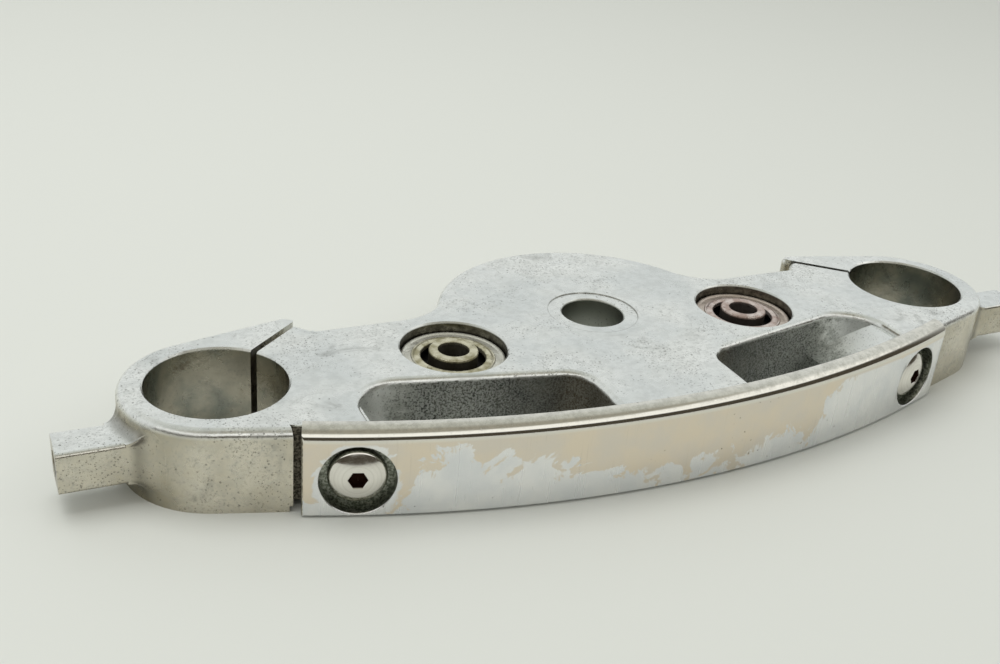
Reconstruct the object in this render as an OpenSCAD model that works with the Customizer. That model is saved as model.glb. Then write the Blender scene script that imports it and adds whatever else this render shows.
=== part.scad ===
// Upper triple clamp of a motorcycle fork, with its front cover and its riser bushings.
// The stem axis is the Z axis, the underside rests on z = 0 and the front looks along -Y.
// The left half is modelled, and mirrored where both sides are alike.

/* [Clamp plate] */
// Distance between the axes of the two fork tubes
fork_span = 272; // [256:1:290]
// Distance of the fork tubes' axes in front of the stem axis
fork_lead = 11.2; // [6:0.1:18]
// Height of the clamp from underside to top face
clamp_h = 27.5; // [25:0.5:34]
// How far the plate's underside lies above the underside of the bosses
under_step = 2; // [1:0.5:6]
// Distance of the straight rear edge behind the stem axis
rear_edge = 14; // [10:0.5:17]
// Radius of the round boss about the stem
boss_r = 55.3; // [48:0.1:60]
// Radius of the hollow blends beside the round boss
boss_blend_r = 20; // [10:1:24]
// Radius of the rounded top edges
edge_r = 2.5; // [1:0.1:2.7]

/* [Fork clamps] */
// Diameter of the fork tubes' bores
fork_bore_d = 43; // [39:0.5:46]
// Wall round the fork bores
fork_wall = 7.6; // [6:0.1:9]
// Width of the slit in each fork clamp
slit_w = 2.2; // [1:0.1:3.5]
// Angle of the slit, from sideways to rearwards
slit_angle = 41; // [36:0.5:48]
// Distance of the slit's middle behind the line through the fork tube's axis
slit_shift = 1.6; // [0:0.1:3]
// Distance of the slit's mouth from the fork tube's axis
slit_reach = 45; // [42:0.5:48]
// Radius of the ear's rounded tip
ear_tip_r = 3.2; // [2.8:0.1:4]
// Bevel at the mouths of the bores
bore_bevel = 0.6; // [0.2:0.1:1]

/* [Stem and risers] */
// Diameter of the stem bore
stem_bore_d = 22; // [18:0.5:26]
// Diameter of the flat machined round the stem bore
stem_flat_d = 32.2; // [30:0.1:38]
// Depth of that flat
stem_flat_depth = 0.3; // [0.1:0.1:1]
// Wall of the stem boss under the plate, outside the machined flat's diameter
stem_boss_wall = 4; // [2:0.5:8]
// Distance between the two riser bushings
riser_span = 116.6; // [106:0.2:124]
// Distance of the riser bushings in front of the stem axis
riser_lead = 10.5; // [6:0.5:13]
// Diameter of the pocket at the mouth of each riser seat
riser_pocket_d = 35.5; // [34.5:0.5:38]
// Inward reach of the lip at the foot of each riser seat
riser_lip = 2; // [1:0.5:4]
// Thickness of that lip
riser_lip_h = 2.5; // [1.5:0.5:5]
// Wall of the riser boss under the plate
riser_boss_wall = 4; // [2:0.5:6]

/* [Riser bushings] */
// Outer diameter of the steel cup's barrel
cup_d = 33; // [30:0.5:33.5]
// Wall of the steel cup
cup_wall = 1.4; // [1:0.1:2]
// How far the cup's flange lies below the clamp's top face
flange_drop = 3.4; // [2:0.1:5]
// Inner diameter of the cup's flange
flange_bore_d = 21.6; // [20.5:0.1:24]
// Width of the raised ring round the flange's inner edge
flange_ring_w = 1.9; // [1:0.1:3]
// Height of that ring
flange_ring_h = 0.3; // [0.1:0.1:0.8]
// How far the rubber lies below the clamp's top face
rubber_drop = 9; // [7:0.5:14]
// Outer diameter of the inner sleeve
sleeve_d = 16.4; // [15:0.1:18]
// Bore of the inner sleeve
sleeve_bore_d = 10.4; // [8.4:0.1:12.4]
// How far the sleeve's top lies below the clamp's top face
sleeve_drop = 1; // [0:0.5:3]

/* [Windows] */
// Distance of the windows' inner ends from the middle
window_in = 24.5; // [18:0.5:30]
// Distance of the windows' outer ends from the fork tubes' axes, sideways
window_inset = 36; // [34:0.5:44]
// Slope of the windows' rear rim against sideways
window_slope = 11.5; // [6:0.5:13]
// Distance of the rear rim in front of the stem axis, at the inner end
window_lead = 38.2; // [37:0.2:44]
// Corner radius at the inner end
window_in_r = 9; // [4:0.5:10]
// Corner radius at the outer end
window_out_r = 14; // [8:0.5:15]
// Radius of the scoop that the outer end runs down in
scoop_r = 24; // [20:0.5:28]
// Height of that radius' centre above the top face
scoop_lift = 9; // [4:0.5:12]
// Radius of the windows' rounded rims
rim_r = 2; // [1:0.1:2.8]

/* [Front cover] */
// Radius of the cover's front face, seen from above
cover_r = 364.4; // [330:0.2:420]
// Distance of the cover's foremost point in front of the stem axis
cover_lead = 70; // [67:0.5:76]
// Thickness of the cover
cover_t = 6.3; // [5.8:0.1:8]
// Distance of the cover's end from the fork tube's axis, sideways
cover_inset = 14.7; // [12:0.1:18]
// How far the cover rises above the clamp's top face
cover_rise = 2; // [0:0.5:4]
// Height of the cover's lower edge above the underside
cover_foot = 0.4; // [0:0.1:3]
// Radius of the round bead along the cover's top front edge
bead_r = 4.5; // [3:0.1:5]
// Radius of the cover's other edges
cover_edge_r = 1; // [0.5:0.1:1.5]
// Gap between the cover's end and the clamp's shoulder
cover_gap = 1.2; // [0.6:0.1:4]
// How far the cover stands proud of the clamp's shoulder
shoulder_step = 3.7; // [1.5:0.1:4.5]

/* [Side stubs] */
// Side of the square stub
stub_w = 13.4; // [11:0.2:15]
// Distance of the stub's end face from the fork tube's axis
stub_reach = 48.2; // [42:0.2:56]
// Distance of the stub's axis in front of the fork tube's axis
stub_lead = 9.5; // [4:0.5:12]
// Radius of the stub's long edges
stub_edge_r = 1.4; // [1:0.1:2.5]
// Radius of the hollow blends above and below the stub's root
neck_r = 4.5; // [3:0.5:5]
// Radius of the hollow blends beside the stub's root
neck_side_r = 5; // [2:0.5:6]
// Diameter of the hole in the stub's end
stub_hole_d = 8; // [6:0.5:9]
// Depth of that hole
stub_hole_depth = 16; // [8:1:18]

/* [Fasteners] */
// Thread diameter of the cover screws and pinch bolts
thread_d = 8; // [6:1:8]
// Distance of the cover screws from the fork tubes' axes, sideways
screw_inset = 30; // [28:0.2:32]
// Height of the cover screws' axes above the underside
screw_z = 12.7; // [12:0.1:15]
// Diameter of the cover's counterbore
sink_d = 22.6; // [20:0.2:23]
// Depth of the cover's counterbore
sink_depth = 4.2; // [3:0.1:4.6]
// Diameter of the cover screw's domed head
dome_d = 16.8; // [14:0.2:18]
// Height of the domed head
dome_h = 4.2; // [3.5:0.1:5]
// Height of the straight rim under the dome
dome_rim = 0.8; // [0.4:0.1:1.5]
// Key size of the cover screw's socket
dome_key = 5; // [4:0.5:6]
// Length of the cover screw below its head
screw_l = 10; // [9:1:12]
// Diameter of the pinch bolt's head
cap_d = 13; // [11:0.5:14]
// Height of the pinch bolt's head
cap_h = 8; // [6:0.5:10]
// Key size of the pinch bolt's socket
cap_key = 6; // [5:0.5:7]
// Length of the pinch bolt below its head
pinch_l = 26; // [20:1:30]
// Distance of the pinch bolt's axis from the fork tube's axis
pinch_reach = 34; // [33:0.5:35]
// Thickness of the ear under the pinch bolt's head
ear_seat = 7; // [5:0.5:8]

/* [Clearances] */
// Gap between the cover's back and its seats
seat_clear = 0.3; // [0.1:0.05:0.6]
// Gap between the cover's back and the tongue between the windows
tongue_clear = 1; // [0.3:0.1:2]
// Radial gap of a bolt in its plain hole, and of the pinch bolt's head in its sink
bolt_clear = 0.5; // [0.2:0.05:0.8]
// Radial gap of a thread in its tapped hole
thread_clear = 0.1; // [0.05:0.05:0.2]
// Radial gap between pressed or moulded pieces
press_clear = 0.05; // [0.02:0.01:0.1]
// Radial gap of the cup's flange in its pocket
flange_clear = 0.3; // [0.1:0.05:0.6]
// Depth of a tapped hole past the end of its thread
tap_run = 1; // [0.5:0.5:3]

/* [Hidden] */
$fn = 96;

// Overrun of every cut past the face that it leaves
over = 1;
// Share of a rounded edge's radius by which its arc is drawn flatter than a quarter circle
edge_ease = 0.1;
// Rounded edges meet without a seam, because one cut laps into the next, which is deeper
lap = 0.3;
// How much deeper that next cut is
lap_step = 0.03;
// Lap of a deeper straight cut past the round end of its edge, out into the air
long_lap = 3;
// Longest cut through the clamp, from well below it to well above it
through = clamp_h + 2 * over;

fork = [-fork_span / 2, -fork_lead];
fork_r = fork_bore_d / 2;
clamp_r = fork_r + fork_wall;
riser = [-riser_span / 2, -riser_lead];
mid_z = clamp_h / 2;

// The cover is bent about this point of the middle plane
cover_c = [0, cover_r - cover_lead];
cover_back_r = cover_r - cover_t;
cover_x = fork[0] + cover_inset;
shoulder = [
    cover_x - cover_gap,
    cover_c[1] - sqrt(pow(cover_r, 2) - pow(cover_x, 2)) + shoulder_step
];

// A point at a distance from the origin in a direction
function polar(r, a) = [r * cos(a), r * sin(a)];
// The point where a line through p in direction a meets a line through q in direction b
function crossing(p, a, q, b) =
    let (t = ((q[0] - p[0]) * sin(b) - (q[1] - p[1]) * cos(b)) / sin(b - a))
    p + t * [cos(a), sin(a)];
// Centre of a rounded corner that turns by less than half a turn, from direction a to b
function corner_centre(p, a, b, r) = p + polar(r / cos((b - a) / 2), (a + b) / 2 + 90);

// Draws its children on both sides of the middle plane
module both_sides() {
    children();
    mirror([1, 0, 0]) children();
}

// What rounds a square corner at the origin of a section that lies below and left of it
module corner_cut(r) {
    difference() {
        translate([-r, -r]) square(r + over);
        translate([-r, -r]) circle(r, $fn = 48);
    }
}

// Section of the cut along a top edge at x = r, with the solid beyond it or before it
module edge_section(r, e, beyond) {
    reach = (1 + edge_ease) * e;
    difference() {
        translate([beyond ? r - over : r - reach, -reach]) square(reach + over);
        translate([beyond ? r + reach : r - reach, -reach]) circle(norm([reach, reach - e]));
    }
}

// Radius of a hollow corner, a step deeper than the straight walls that it joins
function hollow(r) = r + lap_step;

// Cut that rounds a top edge along an arc about c, with the solid outside or inside.
// With the solid outside it turns on until it has left the solid.
module round_arc(c, r, a0, a1, e, outside = false) {
    turn = outside ? acos(1 - 3 * lap_step / r) : asin(lap / r);
    translate(c) rotate(a0 - turn) rotate_extrude(angle = a1 - a0 + 2 * turn)
        edge_section(r, e, outside);
}

// Cut that rounds a top edge from p to q, with the solid on the left of that way.
// Where the edge runs into an arc with the solid inside, the straight cut is the deeper one.
module round_line(p, q, e, deeper = false) {
    d = q - p;
    past = deeper ? long_lap : lap;
    translate(p) rotate(atan2(d[1], d[0])) translate([-past, 0]) rotate([90, 0, 90])
        linear_extrude(norm(d) + 2 * past) edge_section(0, deeper ? e + lap_step : e, true);
}

// Bevel round the mouth of a bore whose rim lies at height 0
module mouth_bevel(d) {
    translate([0, 0, -bore_bevel])
        cylinder(h = bore_bevel + over, r1 = d / 2, r2 = d / 2 + bore_bevel + over);
}

// Fork clamp and its ear

// Places its children at the left fork tube, with X along the middle of the slit
module at_slit() {
    translate(fork) rotate(slit_angle) translate([0, slit_shift]) children();
}

// Fork tube's axis as seen from the slit
slit_fork = [0, -slit_shift];

// The shoulder's front edge runs from its corner to where it touches the clamp's round wall
shoulder_way = shoulder - fork;
shoulder_turn = atan2(shoulder_way[1], shoulder_way[0]) - acos(clamp_r / norm(shoulder_way));
shoulder_touch = fork + polar(clamp_r, shoulder_turn);

// The ear's outer edge touches the clamp's round wall and the ear's round tip
ear_tip = [slit_reach, slit_w / 2 + ear_tip_r];
ear_way = ear_tip - slit_fork;
ear_turn = atan2(ear_way[1], ear_way[0]) + acos((clamp_r - ear_tip_r) / norm(ear_way));
ear_root = slit_fork + polar(clamp_r, ear_turn);
ear_end = ear_tip + polar(ear_tip_r, ear_turn);

// Depth of the lug on the plate's side of the slit, far enough to reach the rear edge
lug_w = 14;

module fork_clamp() {
    translate(fork) cylinder(h = clamp_h, r = clamp_r, $fn = 180);
    linear_extrude(clamp_h)
        polygon([fork, shoulder_touch, shoulder, [shoulder[0], fork[1]]]);
    at_slit() {
        linear_extrude(clamp_h)
            polygon([slit_fork, ear_root, ear_end, ear_tip, [ear_tip[0], 0]]);
        translate(ear_tip) cylinder(h = clamp_h, r = ear_tip_r);
        translate([0, -lug_w]) cube([slit_reach, lug_w, clamp_h]);
    }
}

// The slit lets the clamp close on the tube: it runs from the bore out past the ear
module slit() {
    at_slit() translate([0, -slit_w / 2, -over]) cube([2 * slit_reach, slit_w, through]);
}

// Plate

// Centre of the hollow blend on the left of the round boss
blend_y = rear_edge + boss_blend_r;
blend_c = [-sqrt(pow(boss_r + boss_blend_r, 2) - pow(blend_y, 2)), blend_y];
blend_turn = atan2(blend_c[1], blend_c[0]);
blend_touch = polar(boss_r, blend_turn);

// The plate's front is cut back from the cover, further at the tongue between the windows
module plate_plan() {
    intersection() {
        translate(cover_c) circle(cover_back_r - seat_clear, $fn = 720);
        both_sides() translate([shoulder[0], -cover_lead])
            square([-shoulder[0], cover_lead + rear_edge]);
    }
    circle(boss_r, $fn = 180);
    both_sides() difference() {
        polygon([[0, 0], blend_touch, [blend_c[0], rear_edge], [blend_c[0], 0]]);
        translate(blend_c) circle(hollow(boss_blend_r));
    }
}

module tongue_cut() {
    translate([0, 0, -over]) linear_extrude(through) difference() {
        translate([-window_in, -cover_lead]) square([2 * window_in, window_lead]);
        translate(cover_c) circle(cover_back_r - tongue_clear, $fn = 720);
    }
}

// Window on the left, open to the cover at its front

window_out = fork[0] + window_inset;
rim_turn = 180 - window_slope;
rim_corner = crossing([-window_in, -window_lead], rim_turn, [window_out, 0], 90);
in_c = corner_centre([-window_in, -window_lead], 90, rim_turn, window_in_r);
out_c = corner_centre(rim_corner, rim_turn, 270, window_out_r);
rim_normal = rim_turn - 90;
in_touch = in_c + polar(window_in_r, rim_normal);
out_touch = out_c + polar(window_out_r, rim_normal);

module window_plan() {
    translate(in_c) circle(hollow(window_in_r));
    translate(out_c) circle(hollow(window_out_r));
    polygon([
        [-window_in, in_c[1]], in_touch, out_touch, [window_out, out_c[1]],
        [window_out, -cover_lead], [-window_in, -cover_lead]
    ]);
}

// The outer end runs down in a scoop, which leaves the metal that holds the cover screw
module window() {
    scoop_x = window_out + sqrt(pow(scoop_r, 2) - pow(scoop_lift, 2));
    intersection() {
        translate([0, 0, -over]) linear_extrude(through) window_plan();
        rotate([90, 0, 0]) linear_extrude(cover_lead + over) {
            translate([scoop_x, clamp_h + scoop_lift]) circle(scoop_r);
            translate([scoop_x, -2 * over]) square([-scoop_x, 2 * clamp_h]);
        }
    }
}

module window_rim() {
    round_arc(in_c, hollow(window_in_r), 0, rim_normal, rim_r, true);
    round_arc(out_c, hollow(window_out_r), rim_normal, 180, rim_r, true);
    round_line(out_touch, in_touch, rim_r);
    round_line([-window_in, in_c[1]], [-window_in, -cover_lead], rim_r);
    round_line([window_out, -cover_lead], [window_out, out_c[1]], rim_r);
}

// Rounded edges of the outline's left half: shoulder, clamp wall and ear
module clamp_rim(e) {
    round_line(shoulder_touch, shoulder, e, true);
    round_arc(fork, clamp_r, slit_angle + ear_turn, shoulder_turn + 360, e);
    at_slit() {
        round_line(ear_end, ear_root, e, true);
        round_arc(ear_tip, ear_tip_r, -45, ear_turn, e);
    }
}

// Rounded edges of the plate behind the stem, on the left: from the slit to the round boss
module plate_rim(e) {
    lug_top = fork + polar(slit_reach, slit_angle) + polar(slit_shift, slit_angle + 90);
    lug_foot = crossing(lug_top, slit_angle - 90, [0, rear_edge], 0);
    round_line(lug_foot, lug_top, e);
    round_line([blend_c[0], rear_edge], lug_foot, e);
    round_arc(blend_c, hollow(boss_blend_r), -90, blend_turn - 180, e, true);
}

// Side stub on the left: a square bar with its hollow blends against the clamp's wall

// Places its children at the left stub's end face, with Z outwards along the stub
module at_stub() {
    translate([fork[0] - stub_reach, fork[1] - stub_lead, mid_z]) rotate([0, -90, 0]) children();
}

module stub_bar() {
    depth = stub_reach - fork_r - fork_wall / 2;
    at_stub() translate([0, 0, -depth]) linear_extrude(depth) difference() {
        square(stub_w, center = true);
        for (a = [0:90:270])
            rotate(a) translate([stub_w, stub_w] / 2) corner_cut(stub_edge_r);
    }
}

// One side of the stub's root seen from above: side is -1 in front and 1 behind
module neck_plan(side) {
    edge = -stub_lead + side * stub_w / 2;
    y = edge + side * neck_side_r;
    c = [-sqrt(pow(clamp_r + neck_side_r, 2) - pow(y, 2)), y];
    touch = c * clamp_r / norm(c);
    difference() {
        polygon([[c[0], -stub_lead], [c[0], edge], touch, [0, touch[1]], [0, -stub_lead]]);
        translate(c) circle(neck_side_r);
    }
}

module stub_neck() {
    half = stub_w / 2 + neck_r;
    translate([fork[0], fork[1], mid_z]) intersection() {
        rotate_extrude($fn = 180) difference() {
            translate([fork_r + fork_wall / 2, -half]) square([fork_wall / 2 + neck_r, 2 * half]);
            for (side = [-1, 1])
                translate([clamp_r + neck_r, side * half]) circle(neck_r);
        }
        translate([0, 0, -half]) union() {
            for (side = [-1, 1]) linear_extrude(2 * half) neck_plan(side);
            translate([-stub_reach, -stub_lead - stub_w / 2, 0])
                cube([stub_reach, stub_w, 2 * half]);
        }
    }
}

// Riser seat, cut from the top face down to the lip that holds the bushing
module riser_seat() {
    pocket = flange_drop + cup_wall;
    translate(riser) {
        translate([0, 0, -over]) cylinder(h = through, r = cup_d / 2 - riser_lip);
        translate([0, 0, riser_lip_h]) cylinder(h = clamp_h, d = cup_d + 2 * press_clear);
        translate([0, 0, clamp_h - pocket]) cylinder(h = pocket + over, d = riser_pocket_d);
        translate([0, 0, clamp_h]) mouth_bevel(riser_pocket_d);
    }
}

// Places its children on the cover's face at the left screw, with Z out of the face
screw_turn = asin((fork[0] + screw_inset) / cover_r);
module at_cover_screw() {
    translate([cover_c[0], cover_c[1], screw_z]) rotate(screw_turn)
        translate([0, -cover_r, 0]) rotate([90, 0, 0]) children();
}

// Places its children at the pinch bolt's seat in the left ear, with Z out of the seat
module at_pinch_bolt() {
    at_slit() translate([pinch_reach, slit_w / 2 + ear_seat, mid_z]) rotate([-90, 0, 0]) children();
}

// Plain hole through the ear, then a tapped hole in the plate, with the head's sink
module pinch_hole() {
    at_pinch_bolt() {
        cylinder(h = 2 * clamp_h, d = cap_d + 2 * bolt_clear);
        translate([0, 0, -ear_seat - slit_w / 2])
            cylinder(h = clamp_h, d = thread_d + 2 * bolt_clear, $fn = 48);
        translate([0, 0, -pinch_l - tap_run])
            cylinder(h = pinch_l, d = thread_d + 2 * thread_clear, $fn = 48);
    }
}

module cover_screw_hole() {
    at_cover_screw() translate([0, 0, -sink_depth - screw_l - tap_run])
        cylinder(h = screw_l + sink_depth, d = thread_d + 2 * thread_clear, $fn = 48);
}

// Space under the plate, which leaves the bosses standing down to the underside
module underside() {
    difference() {
        both_sides() translate([shoulder[0] - over, -cover_lead - over, -over])
            cube([over - shoulder[0], cover_lead + boss_r + 2 * over, under_step + over]);
        both_sides() {
            translate([fork[0], fork[1], -2 * over]) cylinder(h = clamp_h, r = clamp_r, $fn = 180);
            translate([riser[0], riser[1], -2 * over])
                cylinder(h = clamp_h, d = cup_d + 2 * riser_boss_wall);
        }
        translate([0, 0, -2 * over]) cylinder(h = clamp_h, d = stem_flat_d + 2 * stem_boss_wall);
    }
}

// Holes round upright axes on the clamp's left half
module fork_bore() {
    translate([fork[0], fork[1], -over]) cylinder(h = through, r = fork_r, $fn = 180);
    translate([fork[0], fork[1], clamp_h]) mouth_bevel(fork_bore_d);
}

module stub_hole() {
    at_stub() translate([0, 0, -stub_hole_depth])
        cylinder(h = stub_hole_depth + over, d = stub_hole_d, $fn = 48);
}

module stem_hole() {
    translate([0, 0, -over]) cylinder(h = through, d = stem_bore_d);
    translate([0, 0, clamp_h - stem_flat_depth]) {
        cylinder(h = over, d = stem_flat_d);
        mouth_bevel(stem_bore_d);
    }
}

module upper_clamp() {
    color("gainsboro") difference() {
        union() {
            linear_extrude(clamp_h) plate_plan();
            both_sides() {
                fork_clamp();
                stub_bar();
                stub_neck();
            }
        }
        underside();
        tongue_cut();
        both_sides() slit();
        both_sides() window();
        translate([0, 0, clamp_h]) both_sides() window_rim();
        translate([0, 0, clamp_h]) both_sides() clamp_rim(edge_r);
        translate([0, 0, clamp_h]) both_sides() plate_rim(edge_r);
        translate([0, 0, clamp_h]) round_arc([0, 0], boss_r, 180 - blend_turn, blend_turn, edge_r);
        both_sides() fork_bore();
        both_sides() riser_seat();
        both_sides() cover_screw_hole();
        both_sides() pinch_hole();
        both_sides() stub_hole();
        stem_hole();
    }
}

// Front cover

module cover_section() {
    h = clamp_h + cover_rise - cover_foot;
    translate([cover_back_r, cover_foot]) difference() {
        square([cover_t, h]);
        translate([cover_t, h]) corner_cut(bead_r);
        translate([cover_t, 0]) rotate(-90) corner_cut(cover_edge_r);
        translate([0, h]) rotate(90) corner_cut(cover_edge_r);
    }
}

// Upright cut that rounds the front corner at the cover's left end
module cover_end_cut() {
    end_turn = asin(cover_x / cover_r);
    translate(cover_c) rotate(end_turn - 90) translate([cover_r, 0]) rotate(-90)
        linear_extrude(2 * clamp_h) corner_cut(cover_edge_r);
}

module front_cover() {
    half_turn = asin(-cover_x / cover_r);
    color("lightsteelblue") difference() {
        translate(cover_c) rotate(270 - half_turn)
            rotate_extrude(angle = 2 * half_turn, $fn = 720) cover_section();
        both_sides() {
            cover_end_cut();
            at_cover_screw() {
                translate([0, 0, -sink_depth]) cylinder(h = clamp_h, d = sink_d);
                translate([0, 0, -cover_t - clamp_h])
                    cylinder(h = 2 * clamp_h, d = thread_d + 2 * bolt_clear, $fn = 48);
            }
        }
    }
}

// Cover screw: domed head with a straight rim and a hexagon socket

module dome_section() {
    half = dome_d / 2;
    cap = dome_h - dome_rim;
    // Radius of the ball that rises by cap over the head's half width
    ball_r = (pow(half, 2) + pow(cap, 2)) / (2 * cap);
    intersection() {
        square([half, dome_h]);
        translate([0, dome_h - ball_r]) circle(ball_r, $fn = 180);
    }
}

module hex_socket(key, depth) {
    translate([0, 0, -depth]) cylinder(h = depth + over, d = key / cos(30), $fn = 6);
}

module cover_screw() {
    at_cover_screw() translate([0, 0, -sink_depth]) difference() {
        union() {
            rotate_extrude() dome_section();
            translate([0, 0, -screw_l]) cylinder(h = screw_l + dome_rim / 2, d = thread_d, $fn = 48);
        }
        translate([0, 0, dome_h]) hex_socket(dome_key, dome_key / 2);
    }
}

module cover_screw_left() { color("silver") cover_screw(); }
module cover_screw_right() { color("silver") mirror([1, 0, 0]) cover_screw(); }

// Riser bushing: pressed cup, rubber and inner sleeve, turned about the riser's axis

module cup_section() {
    top = clamp_h - flange_drop;
    inner = flange_bore_d / 2;
    outer = riser_pocket_d / 2 - flange_clear;
    translate([inner, top - cup_wall]) square([outer - inner, cup_wall]);
    difference() {
        translate([inner, top - cup_wall / 2])
            square([flange_ring_w, cup_wall / 2 + flange_ring_h]);
        translate([inner, top + flange_ring_h]) rotate(90) corner_cut(cup_wall / 2);
    }
    translate([cup_d / 2 - cup_wall, riser_lip_h + seat_clear])
        square([cup_wall, top - cup_wall / 2 - riser_lip_h - seat_clear]);
}

module rubber_section() {
    inner = sleeve_d / 2 + press_clear;
    outer = cup_d / 2 - cup_wall - press_clear;
    foot = riser_lip_h + seat_clear;
    translate([inner, foot]) square([outer - inner, clamp_h - rubber_drop - foot]);
}

module sleeve_section() {
    wall = (sleeve_d - sleeve_bore_d) / 2;
    top = clamp_h - sleeve_drop;
    translate([sleeve_bore_d / 2, 0]) difference() {
        square([wall, top]);
        translate([wall, top]) corner_cut(wall / 4);
        translate([0, top]) rotate(90) corner_cut(wall / 8);
    }
}

module turned_at_riser() { translate(riser) rotate_extrude() children(); }

module bushing_cup_left() { color("darkkhaki") turned_at_riser() cup_section(); }
module bushing_cup_right() { color("rosybrown") mirror([1, 0, 0]) turned_at_riser() cup_section(); }
module bushing_rubber_left() { color("dimgray") turned_at_riser() rubber_section(); }
module bushing_rubber_right() {
    color("dimgray") mirror([1, 0, 0]) turned_at_riser() rubber_section();
}
module bushing_sleeve_left() { color("khaki") turned_at_riser() sleeve_section(); }
module bushing_sleeve_right() {
    color("rosybrown") mirror([1, 0, 0]) turned_at_riser() sleeve_section();
}

// Pinch bolt: socket head with a rounded rim

module pinch_bolt() {
    at_pinch_bolt() difference() {
        union() {
            rotate_extrude() difference() {
                square([cap_d / 2, cap_h]);
                translate([cap_d / 2, cap_h]) corner_cut(cap_h / 10);
            }
            translate([0, 0, -pinch_l]) cylinder(h = pinch_l + cap_h / 4, d = thread_d, $fn = 48);
        }
        translate([0, 0, cap_h]) hex_socket(cap_key, cap_h / 2);
    }
}

module pinch_bolt_left() { color("silver") pinch_bolt(); }
module pinch_bolt_right() { color("silver") mirror([1, 0, 0]) pinch_bolt(); }

upper_clamp();
front_cover();
cover_screw_left();
cover_screw_right();
bushing_cup_left();
bushing_cup_right();
bushing_rubber_left();
bushing_rubber_right();
bushing_sleeve_left();
bushing_sleeve_right();
pinch_bolt_left();
pinch_bolt_right();
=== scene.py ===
# Motorcycle triple clamp: worn polished casting, patchy chromed cover and old riser bushings.
import bmesh
import bpy
from math import asin, cos, degrees, pi, radians, sin, sqrt
from mathutils import Matrix, Vector


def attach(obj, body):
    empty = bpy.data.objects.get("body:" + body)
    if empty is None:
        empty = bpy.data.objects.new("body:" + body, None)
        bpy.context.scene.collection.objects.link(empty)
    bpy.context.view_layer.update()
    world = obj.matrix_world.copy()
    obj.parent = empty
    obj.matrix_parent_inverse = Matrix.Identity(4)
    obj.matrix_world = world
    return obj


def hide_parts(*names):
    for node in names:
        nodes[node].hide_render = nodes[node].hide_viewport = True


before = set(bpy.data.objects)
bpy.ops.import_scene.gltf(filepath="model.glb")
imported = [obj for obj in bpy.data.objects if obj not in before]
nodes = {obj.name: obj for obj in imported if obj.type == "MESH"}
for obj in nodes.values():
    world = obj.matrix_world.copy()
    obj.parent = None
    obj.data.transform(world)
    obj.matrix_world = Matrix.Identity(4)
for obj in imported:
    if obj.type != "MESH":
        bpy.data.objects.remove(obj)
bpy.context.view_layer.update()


MM = 0.001
SIDES = ((-1, "left"), (1, "right"))
UPRIGHT = Vector((0, 0, 1))

# Places of the solids that the shapes and finishes follow, in millimetres. What stands on both sides is given
# for the right
TOP_Z = 27.5
FORK, FORK_R, CLAMP_R = (136.0, -11.2), 21.5, 29.1
RISER, SEAT_R = (58.3, -10.5), 17.75
STEM_R, STEM_FLAT_R = 11.1, 16.1
WINDOW_X = (24.2, 100.6)
# The windows' rear walls run 11.5 degrees to the rear from here
WINDOW_REAR_Y, WINDOW_SLOPE = -43.2, 0.2035
STEP_X, STEP_Y = 122.5, -38.0
COVER_R, COVER_T, COVER_LEAD = 364.4, 6.3, 70.0
COVER_END_X = 121.3
COVER_FOOT, COVER_TOP = 0.4, 29.5
BEAD_R, COVER_EDGE_R = 4.5, 1.0
SCREW_X, SCREW_Z = 106.0, 12.7
SINK_R, SINK_DEPTH = 11.3, 4.2
SOCKET_KEY, SOCKET_DEPTH, SOCKET_R = 5.0, 2.5, 2.95
STUB_END = (184.2, -20.7, 13.75)
STUB_HOLE_R, STUB_HOLE_DEPTH = 4.0, 16.0

# The cover's axis stands behind the stem; a screw's axis runs from there to the front
COVER_AXIS_Y = COVER_R - COVER_LEAD
SCREW_TURN = asin(SCREW_X / COVER_R)
SCREW_OUT = (sin(SCREW_TURN), -cos(SCREW_TURN), 0.0)
SCREW_AT = (COVER_R * SCREW_OUT[0], COVER_AXIS_Y + COVER_R * SCREW_OUT[1], SCREW_Z)
# Where the bead on top of the cover begins
BEAD_Z = COVER_TOP - BEAD_R


# Node trees

def linear(colour):
    """An sRGB hex colour as the linear RGBA that Blender mixes."""
    parts = [int(colour[i:i + 2], 16) / 255 for i in (1, 3, 5)]
    return [c / 12.92 if c <= 0.04045 else ((c + 0.055) / 1.055) ** 2.4 for c in parts] + [1.0]


def add(tree, kind, inputs=(), out=0, **settings):
    """Adds a node with its settings and links, and returns one of its outputs. The inputs are given in a row,
    or by their names or numbers, each as a value or another node's output."""
    node = tree.nodes.new(kind)
    for name, value in settings.items():
        setattr(node, name, value)
    for key, value in inputs.items() if isinstance(inputs, dict) else enumerate(inputs):
        if isinstance(value, bpy.types.NodeSocket):
            tree.links.new(value, node.inputs[key])
        else:
            node.inputs[key].default_value = value
    return node.outputs[out]


def new_material(name, **sockets):
    """A material with its Principled shader's plain values; returns it, its tree and the shader's inputs."""
    material = bpy.data.materials.new(name)
    material.use_nodes = True
    shader = material.node_tree.nodes["Principled BSDF"].inputs
    for key, value in sockets.items():
        shader[key.replace("_", " ")].default_value = value
    return material, material.node_tree, shader


def millimetres(tree):
    """Object coordinates in millimetres, their parts, and the distance to the side from the middle."""
    coords = add(tree, "ShaderNodeTexCoord", out="Object")
    place = add(tree, "ShaderNodeVectorMath", {0: coords, 3: 1 / MM}, operation="SCALE")
    x, y, z = add(tree, "ShaderNodeSeparateXYZ", [place]).node.outputs
    return place, x, y, z, add(tree, "ShaderNodeMath", [x], operation="ABSOLUTE")


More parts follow.
